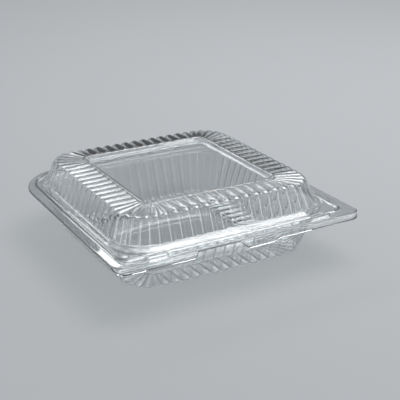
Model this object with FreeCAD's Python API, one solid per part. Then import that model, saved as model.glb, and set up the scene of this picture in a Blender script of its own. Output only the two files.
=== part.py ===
# Hinged food pack of clear plastic film, shown closed: a fluted tray, a fluted lid with the same
# fluted form turned upside down, and the strip of film behind them that they fold on.
# Millimetres. X runs along the front edge, Y to the rear, Z up. The origin is on the table
# under the middle of the whole pack. The shapes are drawn round the middle of the tray and
# moved there at the end.

import FreeCAD, Part
import math
import os

# Sheet and nesting
film = 0.4                # thickness of the formed sheet
nest_gap = 0.3            # space between the tray's rim and the lid's rim that lies on it
rim_top = 35.0            # height of the lid's rim, upper face

# Flutes: each side has a row square to it, and each corner has a fan with one on the diagonal
pitch = 7.8               # from flute to flute along a side
sag_ratio = 0.19          # height of a flute over its width
flute_facets = 4          # flats that make up the half-round section of a flute
corner_facets = 6         # flats that make up a rounded corner of the smooth parts
flat_within = 1e-6        # how far out of its plane a point of a flat may lie

# Dome of the lid and bowl of the tray. Sizes across are (half width, half depth, corner radius)
# and heights are measured from the rim's outer face.
lid_form = {
    "up": 1,
    "plane": rim_top,
    "mouth": (83.2, 83.9, 27.5),
    "foot": (81.0, 81.6, 25.5),
    "foot_height": 2.0,
    "wall_foot": (78.4, 78.9, 23.5),
    "wall_head": (73.5, 72.7, 20.5),
    "wall_head_height": 16.5,
    "shoulder": (72.0, 71.2, 19.0),
    "shoulder_height": 18.0,
    "rib_end": (52.8, 55.0, 7.5),
    "rib_end_height": 18.4,
    "ledge_height": 20.1,
    "recess": (50.6, 52.8, 6.5),
    "panel": (49.8, 52.0, 5.7),
    "panel_height": 17.3,
}
tray_form = {
    "up": -1,
    "plane": rim_top - 2 * film - nest_gap,
    "mouth": (83.2, 83.9, 27.5),
    "foot": (81.8, 82.4, 26.0),
    "foot_height": 2.6,
    "wall_foot": (79.2, 79.8, 24.5),
    "wall_head": (70.1, 70.9, 20.5),
    "wall_head_height": 30.9,
    "shoulder": (68.6, 69.4, 19.0),
    "shoulder_height": 32.0,
    "rib_end": (51.5, 52.5, 7.5),
    "rib_end_height": 32.1,
    "ledge_height": 33.9,
    "recess": (46.9, 47.9, 6.5),
    "panel": (46.1, 47.1, 5.7),
    "panel_height": 30.9,
}
head_tilt = 20.0          # how far the flutes face away from level at the wall's head
shoulder_tilt = 70.0      # the same where the ribs begin

# Both counts are odd, and the rows fit the shorter straight run of the two rib bands
row_room = min(form["rib_end"][0] - form["rib_end"][2] for form in (lid_form, tray_form))
row_flutes = 2 * int((2 * row_room / pitch - 1) / 2) + 1
row_half = pitch * row_flutes / 2
head_x, head_y, head_round = lid_form["wall_head"]
fan_room = head_x + head_y - 2 * head_round - 2 * row_half + math.pi * head_round / 2
fan_flutes = 2 * int(fan_room / pitch / 2) + 1

# Rim: a bead runs round it, then a lip that flares away from the other half
bead_inner = 85.0         # foot of the bead on its inner side, at the pack's left and right
bead_front = 85.6         # the same at the front and the rear
bead_foot = 2.8           # width of the bead at its foot
bead_head = 1.0           # width of the bead on top
bead_height = 1.2
bead_corner = 6.0         # corner radius of the bead's inner foot, front
bead_rear_corner = 29.0   # the same, rear
flare_start = (94.0, 93.3, 95.5, 5.0, 44.5)     # half width, front, rear, front and rear radius
flare_reach = 9.0         # width of the flare before its edge is trimmed
lid_flare = 1.0           # how far the lid's climbs over that width
tray_flare = 8.8          # how far the tray's sinks over it

# Trimmed edge of the rim
rim_half = 94.25
rim_front = 97.5
rim_front_corner = 6.0
rim_rear_corner = 45.0
notch_depth = 2.9         # finger cut-out in the tray's front edge, left of the middle
notch_left = -38.0
notch_right = -3.0
tab_reach = 1.2           # lifting tab of the tray, between the cut-out and tab_right
tab_right = 25.0
edge_round = 3.0

# Snap bars on the rim near both front corners
snap_length = 16.5
snap_width = 4.0
snap_height = 1.6
snap_draft = 0.5
snap_round = 1.9
snap_at = (63.4, -91.0)

# Film hinge along the rear edge
hinge_film = 0.25
hinge_half = 48.0
hinge_axis_y = 94.7
hinge_clear = 0.5         # from the hinge axis to the lid's rear edge
hinge_axis_z = rim_top - film - nest_gap / 2

# The pack reaches from the tray's tab to the back of the hinge, and the origin is half way
middle_y = (hinge_axis_y + nest_gap / 2 + hinge_film - rim_front - tab_reach) / 2


def roundings(corners, z):
    """Start, middle and end of the rounding at each corner of an outline at height z. A corner
    is (x, y, radius)."""
    flat = [FreeCAD.Vector(x, y, z) for x, y, radius in corners]
    found = []
    for i, here in enumerate(flat):
        radius = corners[i][2]
        back = (flat[i - 1] - here).normalize()
        ahead = (flat[(i + 1) % len(flat)] - here).normalize()
        half_angle = back.getAngle(ahead) / 2
        reach = radius / math.tan(half_angle)
        inward = (back + ahead).normalize()
        middle = here + inward * (radius / math.sin(half_angle) - radius)
        found.append((here + back * reach, middle, here + ahead * reach))
    return found


def outline(corners, z):
    """Points of a closed outline whose rounded corners are made of flats."""
    points = []
    for start, middle, end in roundings(corners, z):
        points += Part.Arc(start, middle, end).toShape().discretize(corner_facets + 1)
    return points


def round_wire(corners, z):
    """The same outline with true arcs, for the trimmed edge."""
    found = roundings(corners, z)
    edges = []
    for (start, middle, end), following in zip(found, found[1:] + found[:1]):
        edges.append(Part.Arc(start, middle, end).toShape())
        edges.append(Part.makeLine(end, following[0]))
    return Part.Wire(edges)


def plain_corners(size, grow=0.0):
    """Corners of a rounded rectangle round the origin, grown evenly."""
    x, y, radius = size[0] + grow, size[1] + grow, size[2] + grow
    return [(x, y, radius), (-x, y, radius), (-x, -y, radius), (x, -y, radius)]


def rim_corners(half_width, front, rear, front_radius, rear_radius):
    """Corners of a rim outline, which is tighter at the front corners than at the rear."""
    return [
        (half_width, rear, rear_radius),
        (-half_width, rear, rear_radius),
        (-half_width, -front, front_radius),
        (half_width, -front, front_radius),
    ]


def closed_loop(points):
    """The polygon through a ring of points."""
    return Part.makePolygon(points + points[:1])


def flat_faces(a, b, c, d):
    """One face on four points that lie in a plane, or else two."""
    normal = (b - a).cross(c - a)
    if abs(normal.normalize().dot(d - a)) < flat_within:
        return [Part.Face(closed_loop([a, b, c, d]))]
    return [Part.Face(closed_loop([a, b, c])), Part.Face(closed_loop([a, c, d]))]


def skin_between(first, second):
    """Faces between two rings with as many points each."""
    faces = []
    for i in range(len(first)):
        faces += flat_faces(first[i - 1], first[i], second[i], second[i - 1])
    return faces


def level_face(*rings):
    """A level face whose outline is the first ring, with the other rings as holes."""
    return Part.makeFace([closed_loop(ring) for ring in rings], "Part::FaceMakerBullseye")


def corner_run(across, along, radius):
    """Points and outward directions of a corner's fan, from the end of one row to the start of
    the next, in the frame of the side that it follows."""
    before = along - radius - row_half
    bend = math.pi * radius / 2
    whole = before + bend + across - radius - row_half
    run = []
    for k in range(1, fan_flutes):
        distance = whole * k / fan_flutes
        if distance < before:
            run.append(((across, row_half + distance), (1.0, 0.0)))
        elif distance < before + bend:
            angle = (distance - before) / radius
            point = (across - radius + radius * math.cos(angle),
                     along - radius + radius * math.sin(angle))
            run.append((point, (math.cos(angle), math.sin(angle))))
        else:
            run.append(((row_half + whole - distance, along), (0.0, 1.0)))
    return run


def flute_stations(size):
    """The points between the flutes, all round an outline, each with its outward direction."""
    stations = []
    for side in range(4):
        across, along = (size[0], size[1]) if side % 2 == 0 else (size[1], size[0])
        run = [((across, pitch * k - row_half), (1.0, 0.0)) for k in range(row_flutes + 1)]
        run += corner_run(across, along, size[2])
        turn = FreeCAD.Rotation(FreeCAD.Vector(0, 0, 1), 90.0 * side)
        for point, outward in run:
            stations.append((turn.multVec(FreeCAD.Vector(point[0], point[1], 0)),
                             turn.multVec(FreeCAD.Vector(outward[0], outward[1], 0))))
    return stations


def valley_drop(width, depth):
    """How far the valley between two flutes moves when the skin moves in by depth."""
    sag = sag_ratio * width
    radius = (width * width / 4 + sag * sag) / (2 * sag)
    outer = math.sqrt(radius ** 2 - width ** 2 / 4)
    inner = math.sqrt((radius - depth) ** 2 - width ** 2 / 4)
    return outer - inner


def flute_ring(form, size, height, tilt, depth, shift_in=0.0, shift_down=0.0):
    """Points of a ring of flutes on the skin that lies depth inside the outer one. tilt is the
    angle, from level, of the direction in which the flutes swell."""
    stations = flute_stations(size)
    count = len(stations)
    upward = FreeCAD.Vector(0, 0, form["up"])
    lift = FreeCAD.Vector(0, 0, form["plane"]) + upward * (height - shift_down)
    level = math.cos(math.radians(tilt))
    steep = math.sin(math.radians(tilt))
    widths = [(stations[(i + 1) % count][0] - stations[i][0]).Length for i in range(count)]
    valleys = []
    for i, (point, outward) in enumerate(stations):
        drop = valley_drop((widths[i - 1] + widths[i]) / 2, depth)
        valleys.append(point + lift - (outward * level + upward * steep) * drop
                       - outward * shift_in)
    points = []
    for i in range(count):
        start, end = valleys[i], valleys[(i + 1) % count]
        chord = end - start
        outward = FreeCAD.Vector(chord.y, -chord.x, 0).normalize()
        base_drop = valley_drop(widths[i], depth)
        sag = sag_ratio * widths[i] - depth + base_drop
        crest = (start + end) * 0.5 + (outward * level + upward * steep) * sag
        points += Part.Arc(start, crest, end).toShape().discretize(flute_facets + 1)[:-1]
    return points


def raised(point, height):
    """The point straight above or below another one, at a given height."""
    return FreeCAD.Vector(point.x, point.y, height)


def rib_end_faces(ring, height):
    """Upright faces between the ends of the ribs and the ledge, with the ledge's outer ring. A
    row has one face, and each rib of a fan has its own."""
    faces = []
    ledge_ring = []
    per_row = row_flutes * flute_facets
    per_side = per_row + fan_flutes * flute_facets
    for side in range(4):
        starts = [0] + list(range(per_row, per_side, flute_facets))
        ends = starts[1:] + [per_side]
        for start, end in zip(starts, ends):
            first = side * per_side + start
            run = [ring[(first + k) % len(ring)] for k in range(end - start + 1)]
            corners = [raised(run[-1], height), raised(run[0], height)]
            faces.append(Part.Face(closed_loop(run + corners)))
            ledge_ring.append(corners[1])
    return faces, ledge_ring


def dome_skin(form, depth):
    """One skin of a dome, from its middle panel out to the mouth: the outer skin at depth 0,
    and the inner one at the sheet's thickness. Also returns the ring at the mouth."""
    def at(height):
        return form["plane"] + form["up"] * (height - depth)

    panel = outline(plain_corners(form["panel"], depth), at(form["panel_height"]))
    recess = outline(plain_corners(form["recess"], depth), at(form["ledge_height"]))
    rib_end = flute_ring(form, form["rib_end"], form["rib_end_height"], 90.0, depth,
                         shift_in=depth)
    shoulder = flute_ring(form, form["shoulder"], form["shoulder_height"], shoulder_tilt, depth)
    wall_head = flute_ring(form, form["wall_head"], form["wall_head_height"], head_tilt, depth)
    wall_foot = flute_ring(form, form["wall_foot"], form["foot_height"], 0.0, depth,
                           shift_down=depth)
    foot = outline(plain_corners(form["foot"], -depth), at(form["foot_height"]))
    mouth = outline(plain_corners(form["mouth"], -depth), at(0.0))

    end_faces, ledge_ring = rib_end_faces(rib_end, at(form["ledge_height"]))
    faces = [level_face(panel)]
    faces += skin_between(panel, recess)
    faces.append(level_face(ledge_ring, recess))
    faces += end_faces
    faces += skin_between(rib_end, shoulder)
    faces += skin_between(shoulder, wall_head)
    faces += skin_between(wall_head, wall_foot)
    faces.append(level_face(foot, wall_foot))
    faces += skin_between(foot, mouth)
    return faces, mouth


def bead_ring(offset, shift, z):
    """A ring of the bead: offset outward from its inner foot, and moved in by shift."""
    grow = offset + shift
    corners = rim_corners(bead_inner + grow, bead_front + grow, bead_front + grow,
                          bead_corner + grow, bead_rear_corner + grow)
    return outline(corners, z)


def snap_ring(side, shrink, z):
    """Outline of a snap bar, on the left (-1) or the right (1)."""
    x = snap_length / 2 - shrink
    y = snap_width / 2 - shrink
    radius = snap_round - shrink
    across, front = side * snap_at[0], snap_at[1]
    corners = [(across + x, front + y, radius), (across - x, front + y, radius),
               (across - x, front - y, radius), (across + x, front - y, radius)]
    return outline(corners, z)


def rim_skin(mouth, nest, flare):
    """One skin of a rim, nest below the lid's upper face, from the mouth's ring to past the
    trimmed edge. flare is how far it climbs, or sinks where negative. Also returns its last
    ring."""
    z = rim_top - nest
    slope = math.atan2(bead_height, (bead_foot - bead_head) / 2)
    tuck = nest * math.tan(slope / 2)
    rise = (bead_foot - bead_head) / 2
    inner_foot = bead_ring(0.0, tuck, z)
    inner_head = bead_ring(rise, tuck, z + bead_height)
    outer_head = bead_ring(rise + bead_head, -tuck, z + bead_height)
    outer_foot = bead_ring(bead_foot, -tuck, z)
    begin = outline(rim_corners(*flare_start), z)
    end = outline(rim_corners(*[size + flare_reach for size in flare_start]), z + flare)

    faces = [level_face(inner_foot, mouth)]
    faces += skin_between(inner_foot, inner_head)
    faces.append(level_face(outer_head, inner_head))
    faces += skin_between(outer_head, outer_foot)
    snap_tuck = nest * math.tan(math.atan2(snap_height, snap_draft) / 2)
    snap_feet = []
    for side in (-1, 1):
        snap_foot = snap_ring(side, snap_tuck, z)
        snap_head = snap_ring(side, snap_tuck + snap_draft, z + snap_height)
        snap_feet.append(snap_foot)
        faces += skin_between(snap_foot, snap_head)
        faces.append(level_face(snap_head))
    faces.append(level_face(begin, outer_foot, *snap_feet))
    faces += skin_between(begin, end)
    return faces, end


def closed_solid(faces):
    """The solid inside a set of faces that meet edge to edge."""
    shell = Part.makeShell(faces)
    shell.sewShape()
    solid = Part.makeSolid(shell.Shells[0])
    if solid.Volume < 0:
        solid.reverse()
    return solid


def formed_sheet(form, nest, flare):
    """A dome with its rim as one sheet, before its edge is trimmed. nest is the depth of the
    rim's upper face under the lid's."""
    outer_nest = nest if form["up"] > 0 else nest + film
    inner_nest = nest + film if form["up"] > 0 else nest
    outer_faces, outer_mouth = dome_skin(form, 0.0)
    inner_faces, inner_mouth = dome_skin(form, film)
    outer_rim, outer_end = rim_skin(outer_mouth, outer_nest, flare)
    inner_rim, inner_end = rim_skin(inner_mouth, inner_nest, flare)
    edge = skin_between(outer_end, inner_end)
    return closed_solid(outer_faces + inner_faces + outer_rim + inner_rim + edge)


def trimmed(sheet, corners):
    """The sheet cut along an outline, straight down."""
    below = FreeCAD.Vector(0, 0, -rim_top)
    inside = Part.Face(round_wire(corners, below.z)).extrude(below * -3)
    return sheet.common(inside)


def tray_edge():
    """Trimmed edge of the tray, with the cut-out and the tab in its front."""
    notch_front = notch_depth - rim_front
    tab_front = -rim_front - tab_reach
    return [
        (-rim_half, hinge_axis_y, rim_rear_corner),
        (-rim_half, -rim_front, rim_front_corner),
        (notch_left, -rim_front, edge_round),
        (notch_left + notch_depth, notch_front, edge_round),
        (notch_right, notch_front, edge_round),
        (notch_right + notch_depth, tab_front, edge_round),
        (tab_right - 3 * tab_reach, tab_front, edge_round),
        (tab_right, -rim_front, edge_round),
        (rim_half, -rim_front, rim_front_corner),
        (rim_half, hinge_axis_y, rim_rear_corner),
    ]


def lid():
    """The fluted lid, with its rim flaring up."""
    edge = rim_corners(rim_half, rim_front, hinge_axis_y - hinge_clear, rim_front_corner,
                       rim_rear_corner)
    return trimmed(formed_sheet(lid_form, 0.0, lid_flare), edge)


def tray():
    """The fluted tray, with its rim flaring down."""
    return trimmed(formed_sheet(tray_form, film + nest_gap, -tray_flare), tray_edge())


def hinge_strip():
    """The bend of thin film that the lid turns on: half a tube along the rear edge."""
    inner = nest_gap / 2
    outer = inner + hinge_film
    start = FreeCAD.Vector(-hinge_half, hinge_axis_y, hinge_axis_z)
    along = FreeCAD.Vector(1, 0, 0)
    ring = Part.makeCylinder(outer, 2 * hinge_half, start, along)
    ring = ring.cut(Part.makeCylinder(inner, 2 * hinge_half, start, along))
    rear_half = Part.makeBox(2 * hinge_half, outer, 2 * outer,
                             FreeCAD.Vector(-hinge_half, hinge_axis_y, hinge_axis_z - outer))
    return ring.common(rear_half)


def save(name, shape):
    """Writes one sub-part and prints its size."""
    solid = shape.Solids[0]
    solid.translate(FreeCAD.Vector(0, -middle_y, 0))
    solid.exportStep(os.path.join("parts", name + ".step"))
    box = solid.optimalBoundingBox()
    print(name, "valid", solid.isValid(), "solids", len(shape.Solids), "faces", len(solid.Faces),
          "volume mm3", round(solid.Volume, 1),
          "box", [round(v, 2) for v in (box.XMin, box.YMin, box.ZMin, box.XMax, box.YMax, box.ZMax)])


os.makedirs("parts", exist_ok=True)
save("tray", tray())
save("lid", lid())
save("hinge_strip", hinge_strip())
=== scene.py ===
# %% [markdown]
# # A clear clamshell pack
# A food pack of clear plastic film: a fluted tray and a fluted lid, joined along the rear edge.
# One sheet of film is warmed and pulled over a mould, so every wall, rib and rim is the same
# thin skin. That suggests the whole method: draw each half as one skin, then give it its
# thickness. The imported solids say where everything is.

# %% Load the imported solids
import bmesh
import bpy
import math
import numpy as np
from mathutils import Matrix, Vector


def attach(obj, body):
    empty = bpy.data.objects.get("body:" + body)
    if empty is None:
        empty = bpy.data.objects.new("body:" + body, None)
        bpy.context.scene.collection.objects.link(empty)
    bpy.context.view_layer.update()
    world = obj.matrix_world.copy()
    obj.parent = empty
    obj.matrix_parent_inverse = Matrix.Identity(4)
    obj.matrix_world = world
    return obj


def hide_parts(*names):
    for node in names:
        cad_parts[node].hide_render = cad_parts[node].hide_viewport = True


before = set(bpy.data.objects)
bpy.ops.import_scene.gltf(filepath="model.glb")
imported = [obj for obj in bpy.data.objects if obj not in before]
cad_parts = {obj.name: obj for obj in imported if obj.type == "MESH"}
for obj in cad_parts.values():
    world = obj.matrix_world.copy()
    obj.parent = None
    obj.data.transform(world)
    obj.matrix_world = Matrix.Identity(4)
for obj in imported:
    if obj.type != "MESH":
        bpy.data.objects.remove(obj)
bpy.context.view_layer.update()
print("solids:", sorted(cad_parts))

# %% [markdown]
# ## The sizes that the mould has
# The flutes keep one width along a side, and squeeze together where they fan round a corner.
# The counts and sizes are those of the solids, in millimetres, and one factor turns them to
# Blender's metres at the end.

# %% Sizes in millimetres
MM = 0.001
FILM = 0.4                 # thickness of the formed sheet
NEST_GAP = 0.3             # space between the two rims
RIM_TOP = 35.0             # height of the lid's rim
DOME_MIDDLE_Y = 1.8        # the domes lie this far behind the middle of the whole pack
PITCH = 7.8                # from flute to flute along a side
ROW_FLUTES = 11            # flutes of a row that is square to its side
FAN_FLUTES = 7             # flutes of a fan round a corner
SAG_RATIO = 0.19           # height of a flute over its width
ROW_HALF = PITCH * ROW_FLUTES / 2
PER_SIDE = ROW_FLUTES + FAN_FLUTES
print("flutes on each half:", 4 * PER_SIDE)

# %% [markdown]
# ## Walking round an outline
# Every level cut through the pack is a rounded rectangle. To join one cut to the next with clean
# strips of faces, each cut needs the same number of points, at the same flute. So a point is
# named by its station: 3.5 is the top of the fourth flute. A bevel or a boolean would give the
# roundings too, but not points that line up from the middle of the lid to its edge.


# %% Points round a rounded rectangle
def outline_points(outline, stations):
    """Points in mm at the given stations. An outline is (half width, front, rear, front corner
    radius, rear corner radius)."""
    half, front, rear, front_round, rear_round = outline
    reaches = (half, rear, half, front)
    rounds = (rear_round, rear_round, front_round, front_round)
    points = []
    for station in stations:
        side, place = divmod(station, PER_SIDE)
        side = int(side)
        across, along, radius = reaches[side], reaches[(side + 1) % 4], rounds[side]
        before = along - radius - ROW_HALF
        bend = math.pi * radius / 2
        after = across - radius - ROW_HALF
        gone = (before + bend + after) * (place - ROW_FLUTES) / FAN_FLUTES
        if place <= ROW_FLUTES:
            x, y = across, PITCH * place - ROW_HALF
        elif gone < before:
            x, y = across, ROW_HALF + gone
        elif gone < before + bend:
            angle = (gone - before) / radius
            x = across - radius + radius * math.cos(angle)
            y = along - radius + radius * math.sin(angle)
        else:
            x, y = ROW_HALF + before + bend + after - gone, along
        turn = side * math.pi / 2
        points.append((x * math.cos(turn) - y * math.sin(turn),
                       x * math.sin(turn) + y * math.cos(turn)))
    return np.array(points)


# %% [markdown]
# ## One flute after another
# The film hangs in a shallow half-round between two valleys. Eight points draw that section,
# closer together at the valleys where it turns fast. A rib on top of the lid swells upwards, and
# the same rib further down the wall swells outwards, so the swelling has a tilt.

# %% A ring of flutes
ACROSS_FLUTE = np.array([0.0, 0.06, 0.16, 0.3, 0.5, 0.7, 0.84, 0.94])
EVEN = np.arange(4 * PER_SIDE * len(ACROSS_FLUTE)) / len(ACROSS_FLUTE)
COLUMNS = len(EVEN)
ARC_RADIUS = (0.25 + SAG_RATIO ** 2) / (2 * SAG_RATIO)
ARCH = np.sqrt(ARC_RADIUS ** 2 - (ACROSS_FLUTE - 0.5) ** 2) - ARC_RADIUS + SAG_RATIO
print("points round a ring:", COLUMNS)


def ring(row, up):
    """The points of a row: an outline, then height, tilt in degrees, and how fluted it is."""
    outline, height, tilt, fluted = row[:5], row[5], math.radians(row[6]), row[7]
    plain = outline_points(outline, EVEN)
    points = np.column_stack([plain, np.zeros(COLUMNS)])
    if fluted > 0:
        valleys = outline_points(outline, range(4 * PER_SIDE))
        chords = np.roll(valleys, -1, axis=0) - valleys
        widths = np.linalg.norm(chords, axis=1)
        outward = np.column_stack([chords[:, 1], -chords[:, 0]]) / widths[:, None]
        on_chord = valleys[:, None] + chords[:, None] * ACROSS_FLUTE[None, :, None]
        swell = widths[:, None] * ARCH[None, :]
        level = on_chord + outward[:, None] * (swell * math.cos(tilt))[:, :, None]
        points[:, :2] += fluted * (level.reshape(-1, 2) - plain)
        points[:, 2] = fluted * swell.reshape(-1) * math.sin(tilt) * up
    points[:, 2] += up * height
    return points


# %% [markdown]
# ## The section of a dome
# Film can't take a sharp edge from the mould, so each edge of the section is rounded. The section
# is written as its sharp corners, each with a rounding, and a short curve is drawn through each.
# The same is done by a bevel modifier, but a bevel doesn't know that a flute fades out.


# %% Round the corners of a section
def same_all_round(half_x, half_y, corner, height, tilt=0.0, fluted=0.0):
    """A row of a dome, whose front and rear are alike."""
    return np.array([half_x, half_y, half_y, corner, corner, height, tilt, fluted])


def rounded_section(keys):
    """Rows through the corners of a section. A key is (row, rounding in mm, steps)."""
    rows = [keys[0][0]]
    for (before, _, _), (here, rounding, steps), (after, _, _) in zip(keys, keys[1:], keys[2:]):
        ends = []
        for other in (before, after):
            way = other - here
            length = math.hypot(way[0], way[5])
            ends.append(here + way * min(0.48, rounding / length))
        for t in np.linspace(0, 1, steps + 1):
            rows.append((1 - t) ** 2 * ends[0] + 2 * t * (1 - t) * here + t * t * ends[1])
    rows.append(keys[-1][0])
    return rows


# %% [markdown]
# ## The rim
# Round the mouth of each half runs a raised bead, and the lid's bead sits over the tray's. Outside
# it the film is level, then flares away from the other half, so that fingers can part the two.
# The tray nests under the lid, so its bead is a little narrower.

# %% The bead, with the tray's tucked under the lid's
BEAD_INNER = (85.0, 85.6, 85.6, 6.0, 29.0)         # outline of its inner foot
BEAD_FOOT, BEAD_HEAD, BEAD_HEIGHT = 2.8, 1.0, 1.2
BEAD_RISE = (BEAD_FOOT - BEAD_HEAD) / 2
BEAD_SLOPE = math.atan2(BEAD_HEIGHT, BEAD_RISE)


def bead_row(grow, height):
    """A row of the bead, at a distance outside its inner foot."""
    return np.array([size + grow for size in BEAD_INNER] + [height, 0, 0])


def bead_keys(nest, up):
    """The corners of the bead's section, on a skin that lies nest below the lid's."""
    tuck = nest * math.tan(BEAD_SLOPE / 2)
    high = up * BEAD_HEIGHT
    return [
        (bead_row(tuck, 0.0), 0.4, 2),
        (bead_row(tuck + BEAD_RISE, high), 0.4, 2),
        (bead_row(BEAD_RISE + BEAD_HEAD - tuck, high), 0.4, 2),
        (bead_row(BEAD_FOOT - tuck, 0.0), 0.3, 2),
    ]


# %% [markdown]
# ## The trimmed edge
# A die cuts the sheet free, straight down. In front it takes a finger cut-out from the tray, left
# of the middle, and leaves a small tab beside it. The die's corners are round, which an average
# over three millimetres of the edge gives.

# %% The front edge as the die cuts it
# The sides and the front are 0.3 mm short of the solid's, because the film's thickness leans out
# by that where the lip droops.
HALF, FRONT, REAR = 94.0, 97.2, 94.7
FRONT_ROUND, REAR_ROUND, DIE_ROUND = 6.0, 45.0, 3.0
CUT_OUT_BACK, TAB_FRONT = 94.3, 98.4
HINGE_CLEAR = 0.5                                  # from the hinge to the lid's rear edge
LID_FRONT = [(-HALF, -FRONT), (HALF, -FRONT)]
TRAY_FRONT = [(-HALF, -FRONT), (-38.0, -FRONT), (-35.1, -CUT_OUT_BACK), (-3.0, -CUT_OUT_BACK),
              (-0.1, -TAB_FRONT), (21.4, -TAB_FRONT), (25.0, -FRONT), (HALF, -FRONT)]
print("edge trimmed to", 2 * HALF, "by", FRONT + REAR, "mm")


def trimmed_ring(rear, front_line):
    """Points of the trimmed edge."""
    points = outline_points((HALF, FRONT, rear, FRONT_ROUND, REAR_ROUND), EVEN)
    straight = points[:, 1] < -FRONT + 0.01
    around = np.linspace(-DIE_ROUND / 2, DIE_ROUND / 2, 13)
    sampled = points[straight, 0][:, None] + around[None, :]
    xs, ys = np.array(front_line).T
    points[straight, 1] = np.interp(sampled, xs, ys).mean(axis=1)
    return points


# %% [markdown]
# ## Lips and snap bars
# Outside the bead, the height of the rim is a sum of two things that are easy to write as
# formulas: how far a point is past the line where the lip bends, and how far it is inside one of
# the two bars that snap the pack shut. Each moves the points of the level rim up or down.

# %% Heights of the rim's outer part
FLARE_START = (94.0, 93.3, 95.5, 5.0, 44.5)
LID_FLARE, TRAY_FLARE = 1.0 / 9.0, 8.8 / 9.0       # the lid's lip rises a little, the tray's droops
FLARE_SOFTNESS = 0.3                               # rounds the bend, in square mm
SNAP_BAR = (8.25, 2.0, 2.0, 1.9, 1.9)
SNAP_AT, SNAP_HEIGHT, SNAP_DRAFT = (63.4, -91.0), 1.6, 0.5
print("the tray's lip droops", round(TRAY_FLARE * (FRONT - FLARE_START[1]), 1), "mm in front")
SNAP_SLOPE = math.atan2(SNAP_HEIGHT, SNAP_DRAFT)


def distance_outside(outline, x, y):
    """How far points lie outside an outline, negative inside it."""
    half, front, rear, front_round, rear_round = outline
    radius = np.where(y < 0, front_round, rear_round)
    over_x = np.abs(x) - half + radius
    over_y = np.abs(y) - np.where(y < 0, front, rear) + radius
    outer = np.hypot(np.maximum(over_x, 0), np.maximum(over_y, 0))
    return outer + np.minimum(np.maximum(over_x, over_y), 0) - radius


def rim_height(x, y, nest, up):
    """How far the rim outside its bead stands off its plane."""
    outside = distance_outside(FLARE_START, x, y)
    slope = LID_FLARE if up > 0 else -TRAY_FLARE
    flare = slope * (outside + np.sqrt(outside ** 2 + FLARE_SOFTNESS)) / 2
    tuck = nest * math.tan(SNAP_SLOPE / 2)
    inside = -distance_outside(SNAP_BAR, np.abs(x) - SNAP_AT[0], y - SNAP_AT[1]) - tuck
    share = np.clip(inside / SNAP_DRAFT, 0, 1)
    return flare + SNAP_HEIGHT * share * share * (3 - 2 * share)


# %% [markdown]
# ## From rings to a skin
# Each half is rings of points joined by strips of four-sided faces, with triangles across the
# middle panel. The snap bars are small, so their stretch of the rim is cut finer before the
# heights are set. A solidify modifier then gives the skin the film's thickness on its inner
# side, as the mould gives the outer one.


# %% Build one half of the pack
RIM_STEPS = 10                     # rings from the bead to the trimmed edge
PANEL_SHARE = 0.9                  # size of the panel's inner ring over its outer one
SNAP_REACH = (10.0, 3.4)           # half size of the area that is cut finer for a snap bar


def skin_points(section, nest, up, plane, edge):
    """All points of a skin, and the row of the bead's outer foot."""
    rings = [ring(row, up) for row in rounded_section(section)]
    foot = rings[-1]
    for share in np.linspace(0, 1, RIM_STEPS + 1)[1:]:
        step = foot.copy()
        step[:, :2] += share * (edge - foot[:, :2])
        rings.append(step)
    points = np.array(rings)
    points[:, :, 2] += plane
    return points, len(rings) - RIM_STEPS - 1


def middle_panel(ring_points, first_number):
    """Points and faces that fill the first ring: an inner ring with one point a flute, and the
    middle. Faces from the middle to all of the first ring's points would be needles."""
    per_flute = len(ACROSS_FLUTE)
    flutes = COLUMNS // per_flute
    inner = ring_points[::per_flute] * (PANEL_SHARE, PANEL_SHARE, 1.0)
    middle = first_number + flutes
    faces = []
    for flute in range(flutes):
        here, after = first_number + flute, first_number + (flute + 1) % flutes
        for k in range(per_flute):
            column = flute * per_flute + k
            near = here if k < per_flute // 2 else after
            faces.append([column, (column + 1) % COLUMNS, near])
        faces.append([here, flute * per_flute + per_flute // 2, after])
        faces.append([here, after, middle])
    return inner.tolist() + [[0.0, 0.0, ring_points[0, 2]]], faces


def refine_snap_bars(mesh, foot_row):
    """Cuts the faces round both snap bars finer."""
    bm = bmesh.new()
    bm.from_mesh(mesh)
    wanted = []
    for edge in bm.edges:
        middle = (edge.verts[0].co + edge.verts[1].co) / 2
        off_x, off_y = abs(abs(middle.x) - SNAP_AT[0]), abs(middle.y - SNAP_AT[1])
        on_rim = min(v.index for v in edge.verts) >= foot_row * COLUMNS
        if off_x < SNAP_REACH[0] and off_y < SNAP_REACH[1] and on_rim:
            wanted.append(edge)
    bmesh.ops.subdivide_edges(bm, edges=wanted, cuts=3, use_grid_fill=True)
    bm.to_mesh(mesh)
    bm.free()


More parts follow.
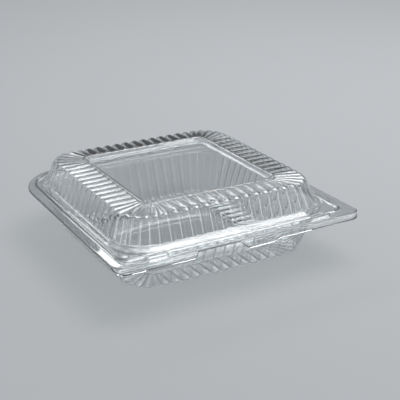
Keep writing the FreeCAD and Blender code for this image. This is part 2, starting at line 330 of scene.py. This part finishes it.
def film_half(name, section, nest, up, plane, edge):
    """One half of the pack as a Blender object, from the panel to the trimmed edge."""
    points, foot_row = skin_points(section, nest, up, plane, edge)
    rows = len(points)
    numbers = np.arange(rows * COLUMNS).reshape(rows, COLUMNS)
    onward = np.roll(numbers, -1, axis=1)
    strips = np.stack([numbers[:-1], numbers[1:], onward[1:], onward[:-1]], axis=-1)
    panel_points, panel_faces = middle_panel(points[0], rows * COLUMNS)
    faces = strips.reshape(-1, 4).tolist() + panel_faces
    if up < 0:
        faces = [face[::-1] for face in faces]
    mesh = bpy.data.meshes.new(name)
    mesh.from_pydata(points.reshape(-1, 3).tolist() + panel_points, [], faces)
    refine_snap_bars(mesh, foot_row)

    co = np.zeros(len(mesh.vertices) * 3)
    mesh.vertices.foreach_get("co", co)
    co = co.reshape(-1, 3)
    bead_outer = bead_row(BEAD_FOOT, 0.0)[:5]
    outer = distance_outside(bead_outer, co[:, 0], co[:, 1]) > -0.6
    co[outer, 2] += rim_height(co[outer, 0], co[outer, 1], nest, up)
    co[:, 1] += DOME_MIDDLE_Y
    mesh.vertices.foreach_set("co", (co * MM).ravel())
    mesh.polygons.foreach_set("use_smooth", [True] * len(mesh.polygons))
    mesh.update()
    made = bpy.data.objects.new(name, mesh)
    bpy.context.scene.collection.objects.link(made)
    thickness = made.modifiers.new("film thickness", "SOLIDIFY")
    thickness.thickness = FILM * MM
    thickness.offset = -1.0
    thickness.material_offset_rim = 1
    print(name, "has", len(mesh.polygons), "faces before its thickness")
    return made


# %% [markdown]
# ## The lid
# From the middle out: a clear panel, sunk into the lid to let packs stack, a level ledge round it,
# the ribs, a rounded shoulder, the fluted wall, and a smooth foot that steps down to the rim. A
# row is half width, half depth, corner radius, height, tilt and how fluted it is, and its
# rounding and steps follow.

# %% Form the lid
LID_SECTION = [
    (same_all_round(48.6, 50.8, 4.5, 17.3), 0, 0),
    (same_all_round(49.8, 52.0, 5.7, 17.3), 0.9, 4),
    (same_all_round(50.6, 52.8, 6.5, 20.02), 0.8, 4),
    (same_all_round(52.8, 55.0, 7.5, 20.02), 0.7, 3),
    (same_all_round(52.8, 55.0, 7.5, 18.4, 90, 1), 0.5, 2),
    (same_all_round(72.0, 71.2, 19.0, 18.0, 70, 1), 0.9, 3),
    (same_all_round(73.5, 72.7, 20.5, 16.5, 20, 1), 0.9, 3),
    (same_all_round(78.4, 78.9, 23.5, 2.0, 0, 1), 0.6, 2),
    (same_all_round(81.0, 81.6, 25.5, 2.0), 0.6, 3),
    (same_all_round(83.2, 83.9, 27.5, 0.0), 0.8, 3),
] + bead_keys(0.0, 1)
lid_edge = trimmed_ring(REAR - HINGE_CLEAR, LID_FRONT)
lid_film = film_half("lid_film", LID_SECTION, 0.0, 1, RIM_TOP, lid_edge)

# %% [markdown]
# ## The tray
# The tray is the same form upside down and deeper, with a panel that is raised in its floor. It
# rests on the ledge round that panel.

# %% Form the tray
TRAY_NEST = 2 * FILM + NEST_GAP
TRAY_SECTION = [
    (same_all_round(44.9, 45.9, 4.5, 30.9), 0, 0),
    (same_all_round(46.1, 47.1, 5.7, 30.9), 0.9, 4),
    (same_all_round(46.9, 47.9, 6.5, 33.83), 0.8, 4),
    (same_all_round(51.5, 52.5, 7.5, 33.83), 0.7, 3),
    (same_all_round(51.5, 52.5, 7.5, 32.1, 90, 1), 0.5, 2),
    (same_all_round(68.6, 69.4, 19.0, 32.0, 70, 1), 0.8, 3),
    (same_all_round(70.1, 70.9, 20.5, 30.9, 20, 1), 0.8, 3),
    (same_all_round(79.2, 79.8, 24.5, 2.6, 0, 1), 0.6, 2),
    (same_all_round(81.8, 82.4, 26.0, 2.6), 0.6, 3),
    (same_all_round(83.2, 83.9, 27.5, 0.0), 0.8, 3),
] + bead_keys(TRAY_NEST, -1)
tray_edge = trimmed_ring(REAR, TRAY_FRONT)
tray_film = film_half("tray_film", TRAY_SECTION, TRAY_NEST, -1, RIM_TOP - TRAY_NEST, tray_edge)

# %% [markdown]
# ## Colours
# Colours are written as the hex numbers of a colour picker. Blender works in linear light, so one
# function turns them.


# %% From hex to linear light, and one way to add a node
def linear(hex_colour):
    """An sRGB hex colour as Blender's linear colour."""
    values = [int(hex_colour[i:i + 2], 16) / 255 for i in (1, 3, 5)]
    return [v / 12.92 if v <= 0.04045 else ((v + 0.055) / 1.055) ** 2.4 for v in values] + [1.0]


def add(tree, kind, settings, links):
    """A node with its settings. links says which output feeds which of its inputs."""
    node = tree.nodes.new(kind)
    for name, value in settings.items():
        if name in node.inputs:
            node.inputs[name].default_value = value
        else:
            setattr(node, name, value)
    for name, source in links.items():
        tree.links.new(source, node.inputs[name])
    return node


def new_material(name):
    """An empty material, with its tree and its output."""
    material = bpy.data.materials.new(name)
    material.use_nodes = True
    material.node_tree.nodes.clear()
    return material, add(material.node_tree, "ShaderNodeOutputMaterial", {}, {})


# %% [markdown]
# ## Formed PET film
# Clear packs like this are made of PET sheet, 0.3 to 0.5 mm thick. It bends light more than window
# glass, so its index is 1.575, and its surface is glossy with slow waves, left by the mould and
# by the sheet cooling. That gives the eye bright streaks that wander along each rib. A shader
# that is only transparent would show none of it, so the film is a refracting solid. Lamps
# couldn't reach what lies behind such a solid, so shadow rays pass it as through tinted glass.

# %% Formed PET film
# Distance between the slow waves of the sheet, and their height
WAVE_MM, WAVE_HEIGHT_MM = 25.0, 0.04
# The mould's fine texture, drawn coarser than it is so that it shows
GRAIN_MM, GRAIN_HEIGHT_MM = 1.6, 0.002


def formed_film():
    """Clear thermoformed PET."""
    material, output = new_material("formed_PET_film")
    tree = material.node_tree
    place = add(tree, "ShaderNodeTexCoord", {}, {})
    waves = add(tree, "ShaderNodeTexNoise", {"Scale": 1 / (WAVE_MM * MM), "Detail": 0.0},
                {"Vector": place.outputs["Object"]})
    grain = add(tree, "ShaderNodeTexNoise", {"Scale": 1 / (GRAIN_MM * MM), "Detail": 2.0},
                {"Vector": place.outputs["Object"]})
    slow = add(tree, "ShaderNodeBump", {"Strength": 1.0, "Distance": WAVE_HEIGHT_MM * MM},
               {"Height": waves.outputs["Fac"]})
    fine = add(tree, "ShaderNodeBump", {"Strength": 1.0, "Distance": GRAIN_HEIGHT_MM * MM},
               {"Height": grain.outputs["Fac"], "Normal": slow.outputs["Normal"]})
    film = add(tree, "ShaderNodeBsdfPrincipled", {
        "Base Color": linear("#fafcfd"), "Roughness": 0.015, "IOR": 1.575,
        "Transmission Weight": 0.96,
    }, {"Normal": fine.outputs["Normal"]})
    lamps_pass = add(tree, "ShaderNodeBsdfTransparent", {"Color": linear("#fafbfb")}, {})
    ray = add(tree, "ShaderNodeLightPath", {}, {})
    both = add(tree, "ShaderNodeMixShader", {}, {"Fac": ray.outputs["Is Shadow Ray"]})
    tree.links.new(film.outputs["BSDF"], both.inputs[1])
    tree.links.new(lamps_pass.outputs["BSDF"], both.inputs[2])
    tree.links.new(both.outputs["Shader"], output.inputs["Surface"])
    return material


# %% [markdown]
# ## The sheared edge
# Where the die shears the sheet, the cut is rough, and scatters the light that runs inside the
# film. Seen from the side it is a thin pale line round both rims.

# %% Sheared film edge
TEAR_MM = 0.8              # size of the tears in the cut, drawn coarser than they are


def sheared_edge():
    """The cut edge of the film, whiter than its faces."""
    material, output = new_material("sheared_film_edge")
    tree = material.node_tree
    place = add(tree, "ShaderNodeTexCoord", {}, {})
    tears = add(tree, "ShaderNodeTexNoise", {"Scale": 1 / (TEAR_MM * MM), "Detail": 2.0},
                {"Vector": place.outputs["Object"]})
    rough = add(tree, "ShaderNodeMapRange", {"To Min": 0.3, "To Max": 0.6},
                {"Value": tears.outputs["Fac"]})
    edge = add(tree, "ShaderNodeBsdfPrincipled", {
        "Base Color": linear("#f2f6f8"), "IOR": 1.575, "Transmission Weight": 0.5,
    }, {"Roughness": rough.outputs["Result"]})
    tree.links.new(edge.outputs["BSDF"], output.inputs["Surface"])
    return material


film_material = formed_film()
edge_material = sheared_edge()
for half in (lid_film, tray_film):
    half.data.materials.append(film_material)
    half.data.materials.append(edge_material)
print("materials:", film_material.name, edge_material.name)

# %% [markdown]
# ## The hinge
# Behind, the film is creased thin and bends round from tray to lid. The solid has that half
# tube already, so it stays and only takes the film's material. Both halves stand for their solids.

# %% Put each piece on its body
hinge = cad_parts["hinge_strip"]
hinge.data.materials.clear()
hinge.data.materials.append(film_material)
for half, body in ((lid_film, "lid"), (tray_film, "tray")):
    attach(half, body)
    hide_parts(body)

# %% [markdown]
# ## Floor and light
# A clear thing shows by what it mirrors and bends. A middling pale floor leaves room both for
# white streaks and for dark lines. The room round it is dim, and the lamps are large and soft: a
# wide one overhead whitens the ribs, one behind draws the rim, and three narrow ones put a bright
# line on each flute. Lamps light the near floor only, so the far floor is seen as lit.

# %% Floor
FLOOR_REACH, UNDER_PACK = 6.0, -0.2 * MM           # in metres
LIT_AS_FAR_AS, FAR_FROM = 0.7, 2.6                 # where the far floor's light starts and is full


def studio_floor():
    """A wide sheet of matt paper, just under the pack."""
    material, output = new_material("studio_paper")
    tree = material.node_tree
    paper = add(tree, "ShaderNodeBsdfPrincipled",
                {"Base Color": linear("#c3c6c9"), "Roughness": 0.9}, {})
    far_paper = add(tree, "ShaderNodeEmission", {"Color": linear("#b9bcbf"), "Strength": 1.0}, {})
    place = add(tree, "ShaderNodeTexCoord", {}, {})
    distance = add(tree, "ShaderNodeVectorMath", {"operation": "LENGTH"}, {})
    tree.links.new(place.outputs["Object"], distance.inputs[0])
    far = add(tree, "ShaderNodeMapRange", {"From Min": LIT_AS_FAR_AS, "From Max": FAR_FROM},
              {"Value": distance.outputs["Value"]})
    ray = add(tree, "ShaderNodeLightPath", {}, {})
    seen = ray.outputs["Is Camera Ray"]
    for kind in ("Is Glossy Ray", "Is Transmission Ray"):
        either = add(tree, "ShaderNodeMath", {"operation": "MAXIMUM"}, {})
        tree.links.new(seen, either.inputs[0])
        tree.links.new(ray.outputs[kind], either.inputs[1])
        seen = either.outputs["Value"]
    share = add(tree, "ShaderNodeMath", {"operation": "MULTIPLY"}, {})
    tree.links.new(far.outputs["Result"], share.inputs[0])
    tree.links.new(seen, share.inputs[1])
    both = add(tree, "ShaderNodeMixShader", {}, {"Fac": share.outputs["Value"]})
    tree.links.new(paper.outputs["BSDF"], both.inputs[1])
    tree.links.new(far_paper.outputs["Emission"], both.inputs[2])
    tree.links.new(both.outputs["Shader"], output.inputs["Surface"])
    mesh = bpy.data.meshes.new("studio_floor")
    turns = ((-1, -1), (1, -1), (1, 1), (-1, 1))
    corners = [(x * FLOOR_REACH, y * FLOOR_REACH, UNDER_PACK) for x, y in turns]
    mesh.from_pydata(corners, [], [(0, 1, 2, 3)])
    floor = bpy.data.objects.new("studio_floor", mesh)
    bpy.context.scene.collection.objects.link(floor)
    floor.data.materials.append(material)
    return floor


studio_floor()
print("floor reaches", FLOOR_REACH, "m each way")


# %% Lamps and sky
def soft_lamp(name, place, size, watts):
    """A rectangular lamp that faces the pack."""
    data = bpy.data.lights.new(name, "AREA")
    data.shape = "RECTANGLE"
    data.size, data.size_y = size
    data.energy = watts
    lamp = bpy.data.objects.new(name, data)
    bpy.context.scene.collection.objects.link(lamp)
    lamp.location = place
    towards_pack = Vector((0, 0, 0.03)) - Vector(place)
    lamp.rotation_euler = towards_pack.to_track_quat("-Z", "Y").to_euler()
    print(name, "lamp:", watts, "W over", size[0], "by", size[1], "m")
    return lamp


soft_lamp("overhead", (0.62, 0.10, 1.70), (1.5, 1.1), 28.0)
soft_lamp("behind", (0.94, 1.51, 0.965), (0.7, 0.20), 1.5)
soft_lamp("rear_left", (-0.25, 1.60, 1.15), (1.0, 0.3), 2.8)
soft_lamp("front_right", (1.00, -1.50, 0.60), (0.35, 1.0), 3.3)
soft_lamp("left", (-1.60, -0.30, 0.60), (0.35, 1.0), 2.7)

world = bpy.data.worlds.new("studio")
world.use_nodes = True
world.node_tree.nodes["Background"].inputs["Color"].default_value = linear("#484b4e")
bpy.context.scene.world = world

# Lamps pass the film as shadow rays, so caustics would light the floor twice. Two walls of lid and
# two of tray have eight faces between them, and light needs a bounce for each, and some more.
cycles = bpy.context.scene.cycles
cycles.caustics_reflective = False
cycles.caustics_refractive = False
cycles.max_bounces = 24
cycles.transmission_bounces = 24

# %% [markdown]
# ## Camera
# The camera stands where the photographer stood, worked out from the corners of the pack in the
# picture: low, left of the front, with a long lens.

# %% Camera
YAW, PITCH_DOWN = 0.5190, 0.3843
camera = bpy.data.objects.new("camera", bpy.data.cameras.new("camera"))
camera.location = (-0.29300, -0.54597, 0.27968)
camera.rotation_euler = (math.pi / 2 - PITCH_DOWN, 0, -YAW)
camera.data.lens = 81.24
camera.data.sensor_width = 36.0
bpy.context.scene.collection.objects.link(camera)
bpy.context.scene.camera = camera
bpy.context.scene.view_settings.view_transform = "Standard"

# %% Bring the scene up to date
bpy.context.view_layer.update()
